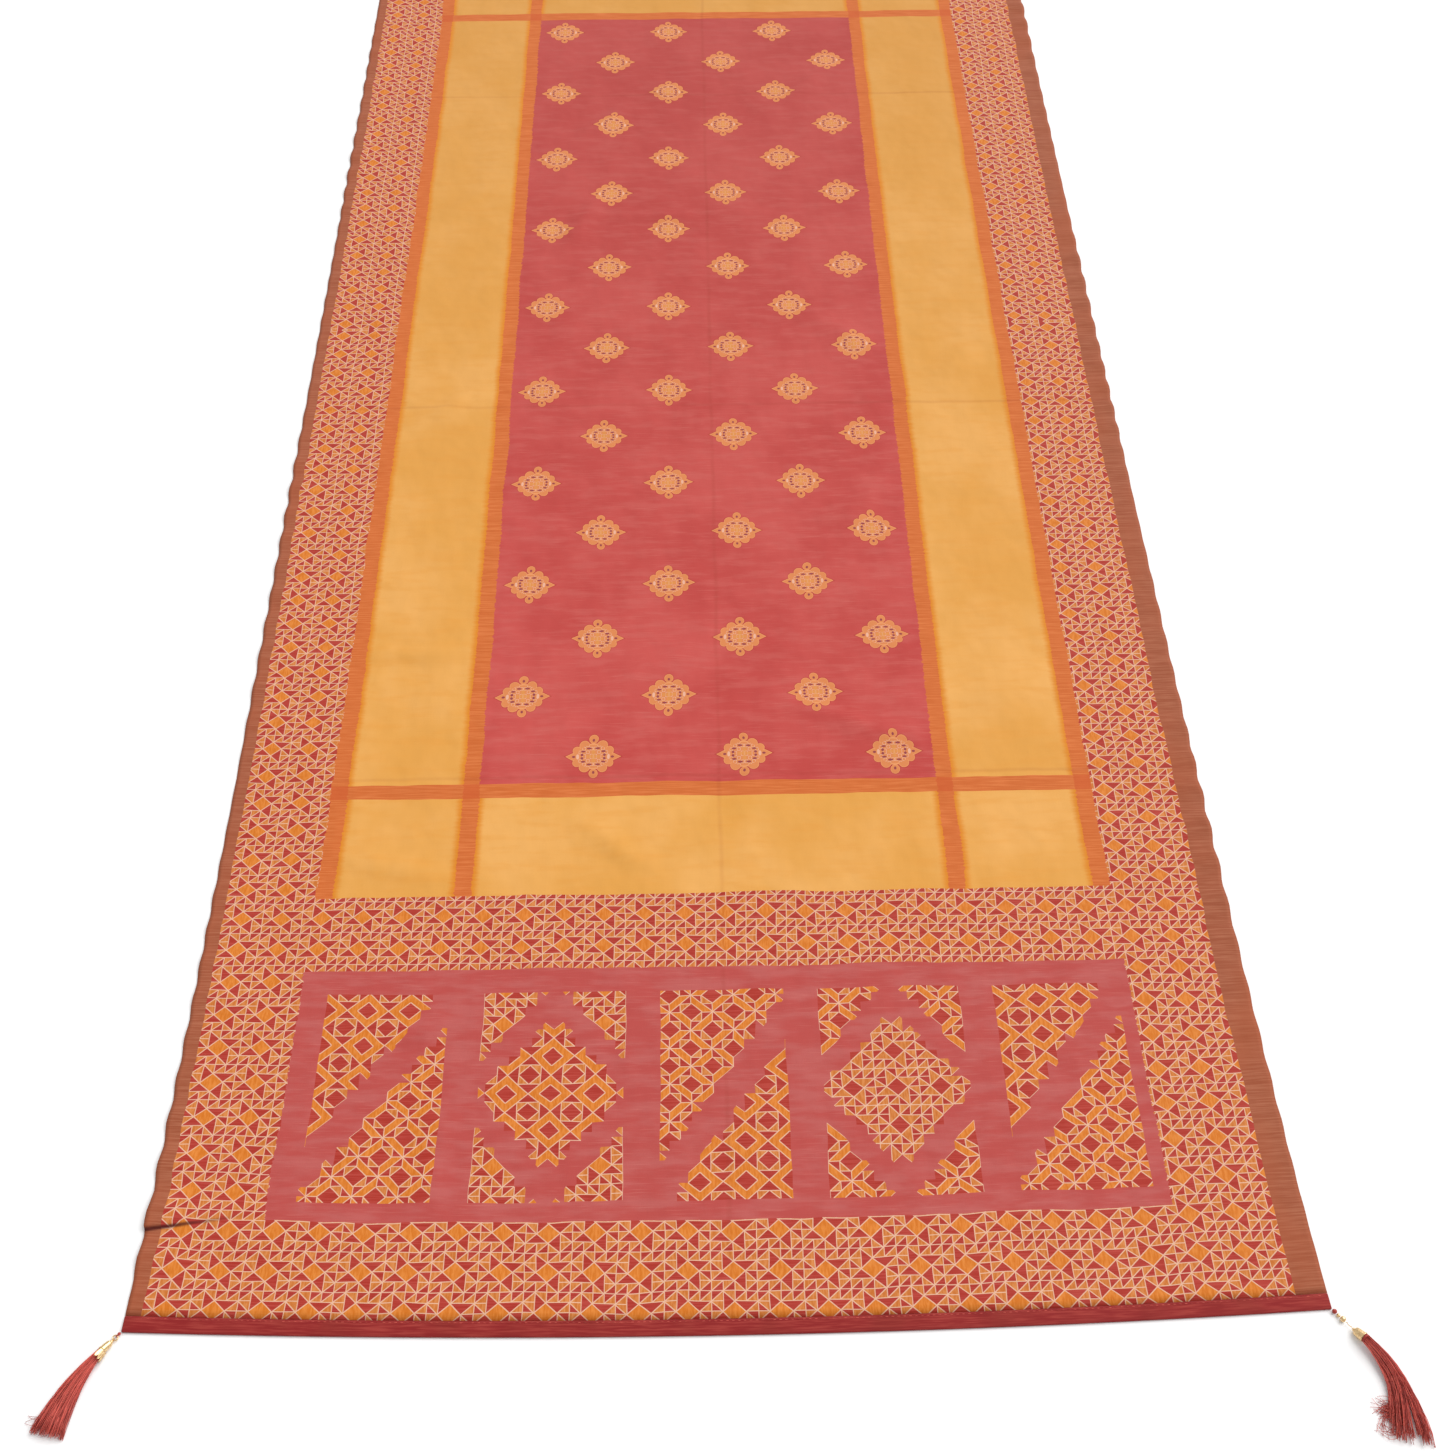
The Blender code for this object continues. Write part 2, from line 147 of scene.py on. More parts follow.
class Socket:
    """A value on its way through a material's nodes. Sums and comparisons on it add Math nodes."""

    def __init__(self, tree, socket=None):
        self.tree, self.socket = tree, socket

    def node(self, kind, settings=None, inputs=None, outputs=(0,)):
        """Adds a node: its settings first, then the values or links of its sockets."""
        made = self.tree.nodes.new(kind)
        for name, setting in (settings or {}).items():
            if name != "stops":
                setattr(made, name, setting)
                continue
            stops = made.color_ramp.elements
            made.color_ramp.interpolation = "CONSTANT"
            for number, (position, colour) in enumerate(setting):
                stop = stops[number] if number < 2 else stops.new(position)
                stop.position, stop.color = position, colour
        for name, value in (inputs or {}).items():
            if isinstance(value, Socket):
                self.tree.links.new(value.socket, made.inputs[name])
            else:
                made.inputs[name].default_value = value
        found = [Socket(self.tree, made.outputs[output]) for output in outputs]
        return found[0] if len(found) == 1 else found

    def maths(self, operation, *values):
        return self.node("ShaderNodeMath", {"operation": operation}, dict(enumerate(values)))

    def __add__(self, other):
        return self.maths("ADD", self, other)

    def __sub__(self, other):
        return self.maths("SUBTRACT", self, other)

    def __rsub__(self, other):
        return self.maths("SUBTRACT", other, self)

    def __mul__(self, other):
        return self.maths("MULTIPLY", self, other)

    def __lt__(self, other):
        return self.maths("LESS_THAN", self, other)

    def __gt__(self, other):
        return self.maths("GREATER_THAN", self, other)

    def __or__(self, other):
        return self.maths("MAXIMUM", self, other)

    def __abs__(self):
        return self.maths("ABSOLUTE", self)

    def __floor__(self):
        return self.maths("FLOOR", self)

    __radd__, __rmul__ = __add__, __mul__


def part_of(value):
    """What is left of a value over its whole number."""
    return value.maths("FRACT", value)


def new_material(name):
    """A new material. Returns it, its shader and the start of the expressions that feed it."""
    material = bpy.data.materials.new(name)
    material.use_nodes = True
    return material, material.node_tree.nodes["Principled BSDF"], Socket(material.node_tree)


def own_map(start, name):
    """The two directions of a piece's own map."""
    place = start.node("ShaderNodeUVMap", {"uv_map": name})
    return start.node("ShaderNodeSeparateXYZ", None, {0: place}, (0, 1))


def feed(shader, start, colour, roughness, relief, strength, constants):
    """Gives a shader its colour, its roughness, its relief in metres and what stays the same."""
    bump = start.node("ShaderNodeBump", None, {"Strength": strength, "Distance": 1.0, "Height": relief})
    for name, value in (("Base Color", colour), ("Roughness", roughness), ("Normal", bump)):
        start.tree.links.new(value.socket, shader.inputs[name])
    for name, value in constants.items():
        shader.inputs[name].default_value = value


def least(value, other):
    return value.maths("MINIMUM", value, other)


def near(value, middle, half):
    """1 where the value lies about the middle of a line, else 0."""
    return abs(value - middle) < half


def mixed(mask, under, over):
    """One colour where the mask is 0 and the other where it is 1."""
    return mask.node("ShaderNodeMix", {"data_type": "RGBA"}, {0: mask, 6: under, 7: over}, (2,))


def ramped(value, start, end):
    """Eases from 0 to 1 as the value goes from start to end."""
    return value.node(
        "ShaderNodeMapRange", {"interpolation_type": "SMOOTHSTEP"}, {0: value, 1: start, 2: end}
    )


def grain(across, along, detail=2.0):
    """An uneven pattern about 0.5, stretched by how far each direction was scaled."""
    place = across.node("ShaderNodeCombineXYZ", None, {0: across, 1: along})
    return across.node(
        "ShaderNodeTexNoise", {"noise_dimensions": "2D"},
        {"Vector": place, "Scale": 1.0, "Detail": detail, "Roughness": 0.55},
    )


def dyed(red, green, blue):
    """The colour that the lamps here bring to a look on screen, which is given as 0 to 255."""
    screen = [level / 255 for level in (red, green, blue)]
    light = [level / 12.92 if level <= 0.04045 else ((level + 0.055) / 1.055) ** 2.4 for level in screen]
    return (*[max(0.004, (level - 0.028) / 1.19) for level in light], 1.0)


# Small repeats, given as charts: four rows of four squares, the lowest row first. Each square is cut
# from corner to corner. Its mark gives the cut's lean and the colours over and under it: red, pale
# orange or bright orange. Outlines run along all cuts and where colours meet, and under a mark with _.
BORDER_CHART = (
    ("/or_", "/or", "\\ro", "/or_"),
    ("/or", "\\br", "/br", "\\ro_"),
    ("\\or", "/rb", "\\rb", "/ro"),
    ("/ro_", "\\or", "/ro", "/ro"),
)
RING_CHART = (
    ("\\br", "\\rb", "/rb", "/br"),
    ("\\rb", "\\ro", "/ro", "/rb"),
    ("/br", "/or", "\\or", "\\br"),
    ("/rb", "/br", "\\br", "\\rb"),
)
STAR_CHART = (
    ("/rb", "/br", "\\or", "\\br"),
    ("/ro", "/rb", "\\br", "\\rb"),
    ("\\br", "\\rb", "/br", "/or"),
    ("\\rb", "\\ro", "/rb", "/br"),
)
SHADES = {"r": 0.0, "o": 0.5, "b": 1.0}
REPEAT_WIDTH, REPEAT_LENGTH = 0.0355, 0.0316
FIGURE_WIDTH, FIGURE_LENGTH = 0.0361, 0.0323  # the repeats of the blocks are a little wider
BLOCK_SLANT = 1.388  # how far the cut of a block runs along the cloth for each step across it


def drawn_chart(x, y, charts):
    """Draws a chart at a place counted in its repeats. Each later one takes over where its mask is 1.

    Returns the masks of red, bright orange and outlines, and the way to the middle of the triangle."""
    x, y = part_of(x) * 4, part_of(y) * 4
    square = (math.floor(x) + math.floor(y) * 4 + 0.5) * (1 / 16)
    shapes = edges = None
    for mask, chart in charts:
        shape_stops, edge_stops = [], []
        for number in range(16):
            row, column = divmod(number, 4)
            lean, over, under = chart[row][column][:3]
            left, below = chart[row][column - 1], chart[row - 1][column]
            shut_left = (over if lean == "/" else under) != (left[2] if left[0] == "/" else left[1])
            shut_below = under != below[1] or "_" in chart[row][column]
            shape_stops.append((number / 16, (lean == "/", SHADES[over], SHADES[under], 1.0)))
            edge_stops.append((number / 16, (shut_left, shut_below, 0.0, 1.0)))
        shape = x.node("ShaderNodeValToRGB", {"stops": shape_stops}, {0: square})
        edge = x.node("ShaderNodeValToRGB", {"stops": edge_stops}, {0: square})
        shapes = mixed(mask, shapes, shape) if shapes else shape
        edges = mixed(mask, edges, edge) if edges else edge
    lean, over, under = x.node("ShaderNodeSeparateColor", None, {0: shapes}, (0, 1, 2))
    left, below = x.node("ShaderNodeSeparateColor", None, {0: edges}, (0, 1))
    x, y, lean = part_of(x) - 0.5, part_of(y) - 0.5, lean * 2 - 1
    height = y - lean * x
    upper = height > 0
    shade = under + (over - under) * upper
    lines = (abs(height) < 0.070) | (left * (x < -0.420)) | (below * (y < -0.410))
    side = (upper * 2 - 1) * (1 / 6)
    return shade < 0.25, shade > 0.75, lines, (x + lean * side) * -0.25, (side - y) * 0.25


# Where the woven bands lie: from the left edge, and from either end. The two ends are alike.
BORDER_LEFT, FIELD_LEFT, FIELD_RIGHT, BORDER_RIGHT = 0.0905, 0.2287, 0.6547, 0.7985
SELVEDGE_LEFT, SELVEDGE_RIGHT, STRIPE = 0.0120, 0.8765, 0.0152
PANEL_START, PANEL_END, BAND_START, BAND_END = 0.0900, 0.3120, 0.3860, 0.5100
BLOCK_PITCH, BLOCK_MIDDLE, BLOCK_HALF_LENGTH = 0.142, 0.1975, 0.0915
SLANTED_HALF_WIDTH, DIAMOND_HALF_WIDTH = 0.0525, 0.0600
MOTIF_START, MOTIF_ROW, MOTIF_WIDTH, MOTIF_LENGTH = 0.541, 0.0735, 0.0265, 0.0255


def drawn_ornament(across, along, in_panel):
    """The charts of the borders, and of the five blocks in an end panel. Returns the masks of red,
    bright orange and outlines, and the mask of the blocks' figures."""
    place = (across - (0.450 - 2.5 * BLOCK_PITCH)) * (1 / BLOCK_PITCH)
    number = math.floor(place)
    fourth = near(number, 3, 0.5)
    diamond = fourth | near(number, 1, 0.5)
    slanted = 1 - diamond
    turned = 1 - 2 * near(number, 2, 0.5)  # the middle block is the first one turned by half a turn
    x = (part_of(place) - 0.5) * BLOCK_PITCH * turned
    y = (along - BLOCK_MIDDLE) * turned
    inside = (place > 0) * (place < 5) * (abs(y) < BLOCK_HALF_LENGTH)
    wider = DIAMOND_HALF_WIDTH - SLANTED_HALF_WIDTH
    inside = inside * (abs(x) < SLANTED_HALF_WIDTH + diamond * wider)

    # Three blocks are cut in two along a slant. The others have a diamond between four corners.
    upper = slanted * (y > BLOCK_SLANT * x + 0.009)
    lower = slanted - upper
    middle = diamond * (abs(x) * 1.14 + abs(y) < 0.084)
    corner = diamond - middle
    rings = upper | (middle - middle * fourth)
    stars = lower | (corner * fourth)
    x = x + corner * (DIAMOND_HALF_WIDTH - abs(x) - x)
    y = y + corner * (BLOCK_HALF_LENGTH - abs(y) - y)
    first_x = upper * -0.0160 + lower * -0.0094 + corner * 0.0177
    first_y = upper * 0.0440 + lower * -0.0220 + corner * 0.0296
    from_left, from_end = (across - 0.0285) * (1 / REPEAT_WIDTH), (along - 0.0180) * (1 / REPEAT_LENGTH)
    figure_x = (x - first_x) * (1 / FIGURE_WIDTH) - rings * 0.5 - lower * 0.5
    figure_y = (y - first_y) * (1 / FIGURE_LENGTH) - (rings | stars) * 0.5
    from_left = from_left + in_panel * (figure_x - from_left) + 0.5
    from_end = from_end + in_panel * (figure_y - from_end) + 0.5
    charts = ((None, BORDER_CHART), (rings * in_panel, RING_CHART), (stars * in_panel, STAR_CHART))
    red, bright, lines, aside, ahead = drawn_chart(from_left, from_end, charts)

    def depth(x, y):
        """How deep in its figure a place lies, in metres from the figure's slanted edge."""
        above_slant = y - x * BLOCK_SLANT
        deep = (upper * (above_slant - 0.0295) + lower * (-0.0120 - above_slant)) * 0.584
        deep = deep + middle * (0.047 - abs(x) * 0.723 - abs(y) * 0.691)
        return deep + corner * (0.040 - x * 0.769 - y * 0.635)

    # A triangle of a chart is drawn in a figure, or left out, as a whole, so the slants are stepped. A
    # red one at the edge is left out too, and what stands out too far is cut off along the slant.
    swapped = in_panel * middle * fourth
    red = abs(red - swapped)
    drawn = depth(x + aside * FIGURE_WIDTH, y + ahead * FIGURE_LENGTH) > red * 0.0026
    drawn = drawn * (depth(x, y) > -0.0018)
    return red, bright * (1 - swapped), lines, inside * drawn * in_panel


def spots_of_field(across, along):
    """The spots of the field: the distance to a spot's edge, which is at 1, then masks of its pale
    lines, dark flecks and gold cross."""
    row = math.floor((along - MOTIF_START) * (1 / MOTIF_ROW) + 0.5)
    odd = part_of(row * 0.5) > 0.25
    column = (across - FIELD_LEFT) * (1 / BLOCK_PITCH) - 0.74 + odd * 0.5
    x = abs(part_of(column + 0.5) - 0.5) * (BLOCK_PITCH / MOTIF_WIDTH)
    y = abs(along - MOTIF_START - row * MOTIF_ROW) * (1 / MOTIF_LENGTH)

    def oval(middle_x, middle_y, half_x, half_y):
        off_x, off_y = (x - middle_x) * (1 / half_x), (y - middle_y) * (1 / half_y)
        return off_x * off_x + off_y * off_y

    body = oval(0.0, 0.0, 0.64, 0.61)
    edge = least(body, oval(0.31, 0.51, 0.19, 0.22))
    edge = least(edge, oval(0.57, 0.28, 0.16, 0.19))
    edge = least(edge, oval(0.0, 0.80, 0.165, 0.20))
    edge = least(edge, ((y - (1 - x) * 0.62) | (y - 0.17)) * 7 + 1 + (x < 0.55) * 9)
    scroll = x.maths("SINE", x * 24) * x.maths("SINE", y * 19 + 0.8)
    pale = (near(scroll, 0.24, 0.16) * (body < 0.80)) | (oval(0.55, 0.02, 0.05, 0.10) < 1)
    flecks = oval(0.0, 0.75, 0.045, 0.065) < 1
    for fleck in ((0.15, 0.38, 0.09, 0.045), (0.36, 0.24, 0.08, 0.045), (0.40, 0.08, 0.05, 0.06),
                  (0.69, 0.0, 0.06, 0.05)):
        flecks = flecks | (oval(*fleck) < 1)
    gold = ((x < 0.06) * (y < 0.30)) | ((x < 0.24) * (y < 0.06))
    return edge, pale, flecks, gold


def woven_material():
    """The whole weave of the cloth, drawn on its own map in metres."""
    material, shader, start = new_material("woven silk and cotton")
    flat_x, flat_y = own_map(start, "weave")

    # Threads never lie quite straight, and the dye creeps along them at the edge of a stripe.
    drift = grain(flat_x * 14, flat_y * 14) - 0.5
    across = flat_x + drift * 0.0040
    along = least(flat_y, LENGTH - flat_y) + drift * 0.0050
    slub = grain(flat_x * 30, flat_y * 760)
    fine = grain(flat_x * 520, flat_y * 120)
    cloud = grain(flat_x * 9, flat_y * 7, 3.0)
    haze = grain(flat_x * 20, flat_y * 90, 4.0)
    creep = (grain(flat_x * 60, flat_y * 420, 1.0) - 0.5) * 0.0036

    # The ground: red field, yellow bands and orange stripes
    soft = across + creep
    from_field = (FIELD_LEFT - soft) | (soft - FIELD_RIGHT)
    from_middle = (BORDER_LEFT - soft) | (soft - BORDER_RIGHT)
    in_band = (along > BAND_START) * (along < BAND_END - 0.0165)
    long_stripe = (from_field > 0) * (from_field < STRIPE) | ((from_middle < 0) * (from_middle > -STRIPE))
    cross_stripe = (along > BAND_END - 0.0165) * (along < BAND_END)
    edge_of_yellow = least(abs(from_field - STRIPE), abs(from_middle + STRIPE))
    edge_of_yellow = least(edge_of_yellow, abs(from_field) + 1 - in_band)
    red = mixed(ramped(cloud, 0.35, 0.68), dyed(198, 83, 79), dyed(208, 94, 89))
    red = mixed(ramped(haze, 0.42, 0.72) * 0.36, red, dyed(213, 114, 107))
    red = mixed(ramped(slub, 0.55, 0.85) * 0.30, red, dyed(224, 134, 124))
    # Painted shade: the red is darkened towards the far end, as if less light reached it there.
    red = mixed(ramped(flat_y, 0.4, 2.1) * 0.5, red, dyed(178, 84, 80))
    yellow = mixed(ramped(cloud, 0.3, 0.7), dyed(232, 167, 87), dyed(241, 179, 104))
    yellow = mixed(ramped(haze, 0.42, 0.75) * 0.35, yellow, dyed(232, 160, 78))
    # Painted shade: the yellow is darkened towards the far end, as if less light reached it there.
    yellow = mixed(ramped(flat_y, 0.5, 2.1) * 0.6, yellow, dyed(214, 154, 84))
    yellow = mixed(1 - ramped(edge_of_yellow, 0.0, 0.0075), yellow, dyed(226, 142, 58))
    orange = mixed(ramped(slub, 0.35, 0.75), dyed(211, 113, 64), dyed(225, 130, 79))
    orange = mixed(cross_stripe * long_stripe * 0.6, orange, dyed(208, 96, 60))
    ground = mixed((from_field > 0) | in_band, red, yellow)
    ground = mixed(cross_stripe | long_stripe, ground, orange)

    # The spots of the field
    edge, pale, flecks, gold = spots_of_field(across, flat_y + drift * 0.0050)
    in_field = (along > BAND_END) * (from_field < 0)
    spot = (edge < 1) * in_field
    spot_colour = mixed(edge > 0.80, dyed(226, 142, 92), dyed(238, 160, 108))
    spot_colour = mixed(pale, spot_colour, dyed(238, 182, 156))
    spot_colour = mixed(gold * 0.6, spot_colour, dyed(228, 156, 86))
    spot_colour = mixed(flecks, spot_colour, dyed(158, 80, 84))
    ground = mixed((1 - ramped(edge, 1.0, 1.45)) * in_field * 0.75, ground, dyed(176, 68, 60))
    ground = mixed(spot, ground, spot_colour)

    # The end panels, their blocks, and the borders along both sides and across each end
    in_panel = (along > PANEL_START) * (along < PANEL_END) * (from_middle < 0)
    panel = mixed(ramped(haze, 0.35, 0.72), dyed(193, 89, 85), dyed(197, 104, 100))
    panel = mixed(ramped(slub, 0.55, 0.85) * 0.35, panel, dyed(220, 134, 126))
    ground = mixed(in_panel, ground, panel)
    in_border = (from_middle > 0) | (along < PANEL_START) | ((along > PANEL_END) * (along < BAND_START))
    woven_red, bright, lines, figures = drawn_ornament(across, along, in_panel)
    pale_orange = mixed(ramped(fine, 0.3, 0.75), dyed(206, 120, 62), dyed(225, 146, 88))
    bright_orange = mixed(ramped(fine, 0.3, 0.75), dyed(217, 124, 54), dyed(233, 144, 73))
    deep_red = mixed(ramped(slub, 0.3, 0.8), dyed(178, 66, 57), dyed(194, 85, 76))
    pattern = mixed(bright, pale_orange, bright_orange)
    pattern = mixed(woven_red, pattern, deep_red)
    pattern = mixed(lines * 0.84, pattern, dyed(242, 199, 171))
    patterned = (in_border - in_border * in_panel) | figures
    ground = mixed(patterned, ground, pattern)

    # The selvedges, with the warp left plain
    in_selvedge = (across < SELVEDGE_LEFT) | (across + flat_y * -0.0012 > SELVEDGE_RIGHT)
    selvedge = mixed(ramped(slub, 0.3, 0.8), dyed(164, 93, 69), dyed(184, 116, 90))
    selvedge = mixed(ramped(cloud, 0.4, 0.7) * 0.5, selvedge, dyed(178, 98, 70))
    ground = mixed(in_selvedge, ground, selvedge)
    patterned = patterned * (1 - in_selvedge)

    # Painted shade along the old fold lines, and a painted shadow as a dark line under the tuck, where the
    # cloth is pinched
    patchy = grain(flat_x * 9, flat_y * 9) * 0.7
    fold_shade = (1 - ramped(abs(across - LONG_FOLD), 0.0, 0.0035)) * patchy
    for from_end in CROSS_FOLDS:
        fold = 1 - ramped(abs(flat_y + drift * 0.006 - from_end), 0.0, 0.0035)
        fold_shade = fold_shade | (fold * patchy)
    # Painted shade: the fold lines are darkened towards dark brown, unevenly along their length.
    ground_with_painted_shade = mixed(fold_shade * 0.35, ground, dyed(150, 66, 50))
    # A painted shadow: a dark line along the foot of the tuck, fading out away from the left edge.
    tuck_shadow = 1 - ramped(abs(flat_y + 0.0024 - TUCK_FROM_END - flat_x * TUCK_LEAN), 0.0002, 0.0022)
    ground_with_painted_shade = mixed(tuck_shadow * (1 - ramped(flat_x, 0.02, 0.082)) * 0.9, ground_with_painted_shade, dyed(92, 40, 30))

    # Relief: threads and small crumples
    relief = slub * 0.00008 + fine * 0.00006 + grain(flat_x * 24, flat_y * 20) * 0.00220
    rough = 0.66 + slub * 0.16 - patterned * 0.06
    constants = {"Specular IOR Level": 0.22, "Sheen Weight": 0.05, "Sheen Roughness": 0.45}
    feed(shader, start, ground_with_painted_shade, rough, relief, 0.9, constants)
    return material


def shown_piece(bm, name, material, slot, *nodes):
    """Makes a mesh into a piece of the stole that stands for the CAD nodes named."""
    mesh = bpy.data.meshes.new(name)
    bm.to_mesh(mesh)
    bm.free()
    mesh.materials.append(material)
    piece = bpy.data.objects.new(name, mesh)
    bpy.context.scene.collection.objects.link(piece)
    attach(piece, "root")
    if nodes:
        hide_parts(*nodes)
    return piece


cloth_bm = bmesh.new()
columns = 2 * EDGE_CELLS + MIDDLE_CELLS
bmesh.ops.create_grid(cloth_bm, x_segments=columns, y_segments=ROWS, size=0.5)
cut_place = {}
for vert in cloth_bm.verts:
    across = column_place(round((vert.co.x + 0.5) * columns))
    along = row_place(round((vert.co.y + 0.5) * ROWS))
    cut_place[vert] = across, along
    lift, sway = lift_and_sway(across - WIDTH / 2, along - LENGTH / 2)
    x, y = plan_point(across - WIDTH / 2, along - LENGTH / 2)
    ends = eased((LENGTH / 2 - abs(along - LENGTH / 2) - HEM_WIDTH) / 0.020)
    rise = max(-0.0003, crease_rise(across, along) * ends)
    vert.co = (x + sway, y, TOP + lift + rise)
weave_map = cloth_bm.loops.layers.uv.new("weave")
for face in cloth_bm.faces:
    face.smooth = True
    for loop in face.loops:
        loop[weave_map].uv = cut_place[loop.vert]
cloth = shown_piece(cloth_bm, "woven_cloth", woven_material(), "woven_cloth", "cloth")
wall = cloth.modifiers.new("thickness", "SOLIDIFY")
wall.thickness, wall.offset = CLOTH_THICKNESS, -1.0


# ---- The hems -------------------------------------------------------------------------------------
# At each end the cloth's plain maroon heading is turned under twice and pressed. A row of small
# running stitches in maroon thread holds it, so its inner edge is drawn in a little at each stitch.

HEM_TOP, HEM_BODY, HEM_ROUND = 0.0023, 0.0021, 0.0008
STITCH_PITCH, STITCH_LENGTH, STITCH_THICKNESS, STITCH_FROM_END = 0.0044, 0.0026, 0.00034, 0.0108
HEM_UNEVEN, STITCH_PULL = 0.00016, 0.00008


def hem_material():
    """Plain weave in maroon, with painted shade darkening it towards the turned edge."""
    material, shader, start = new_material("maroon heading")
    across, along = own_map(start, "weave")
    slub = grain(across * 40, along * 700, 3.0)
    cloud = grain(across * 22, along * 22)
    colour = mixed(ramped(slub, 0.35, 0.75), dyed(148, 51, 51), dyed(174, 74, 68))
    colour = mixed(ramped(cloud, 0.45, 0.75) * 0.4, colour, dyed(138, 58, 48))
    # Painted shade: darker towards the turned edge, where the hem rounds down.
    colour = mixed((1 - ramped(along, 0.0, 0.005)) * 0.35, colour, dyed(132, 40, 40))
    relief = slub * 0.00010 + cloud * 0.00025
    constants = {"Specular IOR Level": 0.28, "Sheen Weight": 0.12}
    feed(shader, start, colour, 0.68 + slub * 0.14, relief, 0.9, constants)
    return material


def thread_material(name, dark, light):
    """Loose glossy thread, each one dyed a little unlike the next. Its map holds shade and place."""
    material, shader, start = new_material(name)
    shade, along = own_map(start, "thread")
    mottle = grain(shade * 40, along * 9)
    colour = mixed(ramped(shade * 0.7 + mottle * 0.6, 0.15, 0.88), dark, light)
    twist = start.maths("SINE", along * 340 + shade * 9)
    constants = {"Specular IOR Level": 0.4, "Sheen Weight": 0.05}
    feed(shader, start, colour, 0.42 + mottle * 0.22, twist * 0.00003, 0.6, constants)
    return material


maroon_heading = hem_material()
maroon_thread = thread_material("maroon thread", dyed(156, 53, 51), dyed(250, 122, 108))
for end, turn in (("near", 0.0), ("far", math.pi)):
    hem_bm = bmesh.new()
    bmesh.ops.create_grid(hem_bm, x_segments=200, y_segments=5, size=0.5)
    hem_map = hem_bm.loops.layers.uv.new("weave")
    cut_place = {}
    for vert in hem_bm.verts:
        across, from_end = (vert.co.x + 0.5) * WIDTH, (vert.co.y + 0.5) * HEM_WIDTH
        cut_place[vert] = across, from_end
        x, y = plan_point(across - WIDTH / 2, from_end - LENGTH / 2)
        drawn_in = from_end / HEM_WIDTH * math.sin(2 * math.pi * across / STITCH_PITCH / 5)
        lie = HEM_UNEVEN * noise.noise(Vector((across * 30, turn, 0.0))) + STITCH_PULL * drawn_in
        vert.co = (x, y, HEM_TOP + lie)
    for face in hem_bm.faces:
        face.smooth = True
        for loop in face.loops:
            loop[hem_map].uv = cut_place[loop.vert]
    bmesh.ops.rotate(hem_bm, cent=(0, 0, 0), matrix=Matrix.Rotation(turn, 3, "Z"), verts=hem_bm.verts)
    hem = shown_piece(hem_bm, f"turned_hem_{end}", maroon_heading, "maroon_hem", f"hem_{end}")
    wall = hem.modifiers.new("thickness", "SOLIDIFY")
    wall.thickness, wall.offset = HEM_BODY, -1.0
    rounding = hem.modifiers.new("rounding", "BEVEL")
    rounding.width, rounding.segments, rounding.angle_limit = HEM_ROUND, 3, math.radians(60)

    stitch_bm = bmesh.new()
    stitch_map = stitch_bm.loops.layers.uv.new("thread")
    chance = random.Random(7)
    for number in range(int(WIDTH / STITCH_PITCH) - 1):
        across = (number + 1) * STITCH_PITCH - WIDTH / 2
        x, y = plan_point(across, STITCH_FROM_END - LENGTH / 2)
        made = bmesh.ops.create_uvsphere(stitch_bm, u_segments=6, v_segments=4, radius=0.5)["verts"]
        bmesh.ops.scale(stitch_bm, vec=(STITCH_LENGTH, STITCH_THICKNESS, STITCH_THICKNESS), verts=made)
        lean = Matrix.Rotation(chance.uniform(-0.10, 0.10), 3, "Z")
        bmesh.ops.rotate(stitch_bm, cent=(0, 0, 0), matrix=lean, verts=made)
        bmesh.ops.translate(stitch_bm, vec=(x, y, HEM_TOP + 0.00010), verts=made)
        shade = chance.random()
        for face in {face for vert in made for face in vert.link_faces}:
            face.smooth = True
            for loop in face.loops:
                loop[stitch_map].uv = shade, loop.vert.co.x
    bmesh.ops.rotate(stitch_bm, cent=(0, 0, 0), matrix=Matrix.Rotation(turn, 3, "Z"), verts=stitch_bm.verts)
    shown_piece(stitch_bm, f"hem_stitches_{end}", maroon_thread, "maroon_thread")


# ---- The tassels: what fastens them ---------------------------------------------------------------
# A tassel is sewn to each corner through a maroon thread knot. One near corner has a gilt jump ring
# in two small loops, the other two gilt beads on a twisted wire. The far corners are these turned.

PIECE_GAP = 0.0003
RING_RADIUS, RING_WIRE = 0.0020, 0.0005
LOOP_RADIUS, LOOP_WIRE, LOOP_HEIGHT, LOOP_FROM_KNOT, LOOP_SUNK = 0.0012, 0.00036, 0.0020, 0.0019, 0.0010
LOOPED_KNOT_RADIUS, KNOT_RADIUS = 0.0013, 0.0020
SMALL_BEAD_RADIUS, BEAD_RADIUS, FLUTES, FLUTE_DEPTH = 0.0015, 0.0023, 8, 0.045
LINK_LENGTH, LINK_WIRE, LINK_ASIDE, LINK_TWIST = 0.0068, 0.00024, 0.00026, 11.0
LEFT_TASSEL = dict(name="left", other="right", side=-1, heading=-128, turn=26, cap=0.0032, skirt=0.068,
                   fan=0.027, frayed=0.0, curls=4)
RIGHT_TASSEL = dict(name="right", other="left", side=1, heading=-52, turn=-48, cap=0.0040, skirt=0.082,
                    fan=0.025, frayed=1.0, curls=72)


def at_corners(bm, kind, node_kind, tassel, material, slot):
    """Lays a piece made in a tassel's own frame at its near corner and, turned, at the far one."""
    x, y = plan_point(tassel["side"] * WIDTH / 2, -LENGTH / 2)
    mesh = bpy.data.meshes.new(kind)
    bm.to_mesh(mesh)
    bm.free()
    for place, turn in ((f"near_{tassel['name']}", 0.0), (f"far_{tassel['other']}", math.pi)):
        laid = bmesh.new()
        laid.from_mesh(mesh)
        corner = Matrix.Rotation(turn, 4, "Z") @ Matrix.Translation((x, y, 0))
        corner = corner @ Matrix.Rotation(math.radians(tassel["heading"]), 4, "Z")
        bmesh.ops.transform(laid, matrix=corner, verts=laid.verts)
        nodes = [f"{node_kind}_{place}"] if node_kind else []
        shown_piece(laid, f"{kind}_{place}", material, slot, *nodes)
    bpy.data.meshes.remove(mesh)


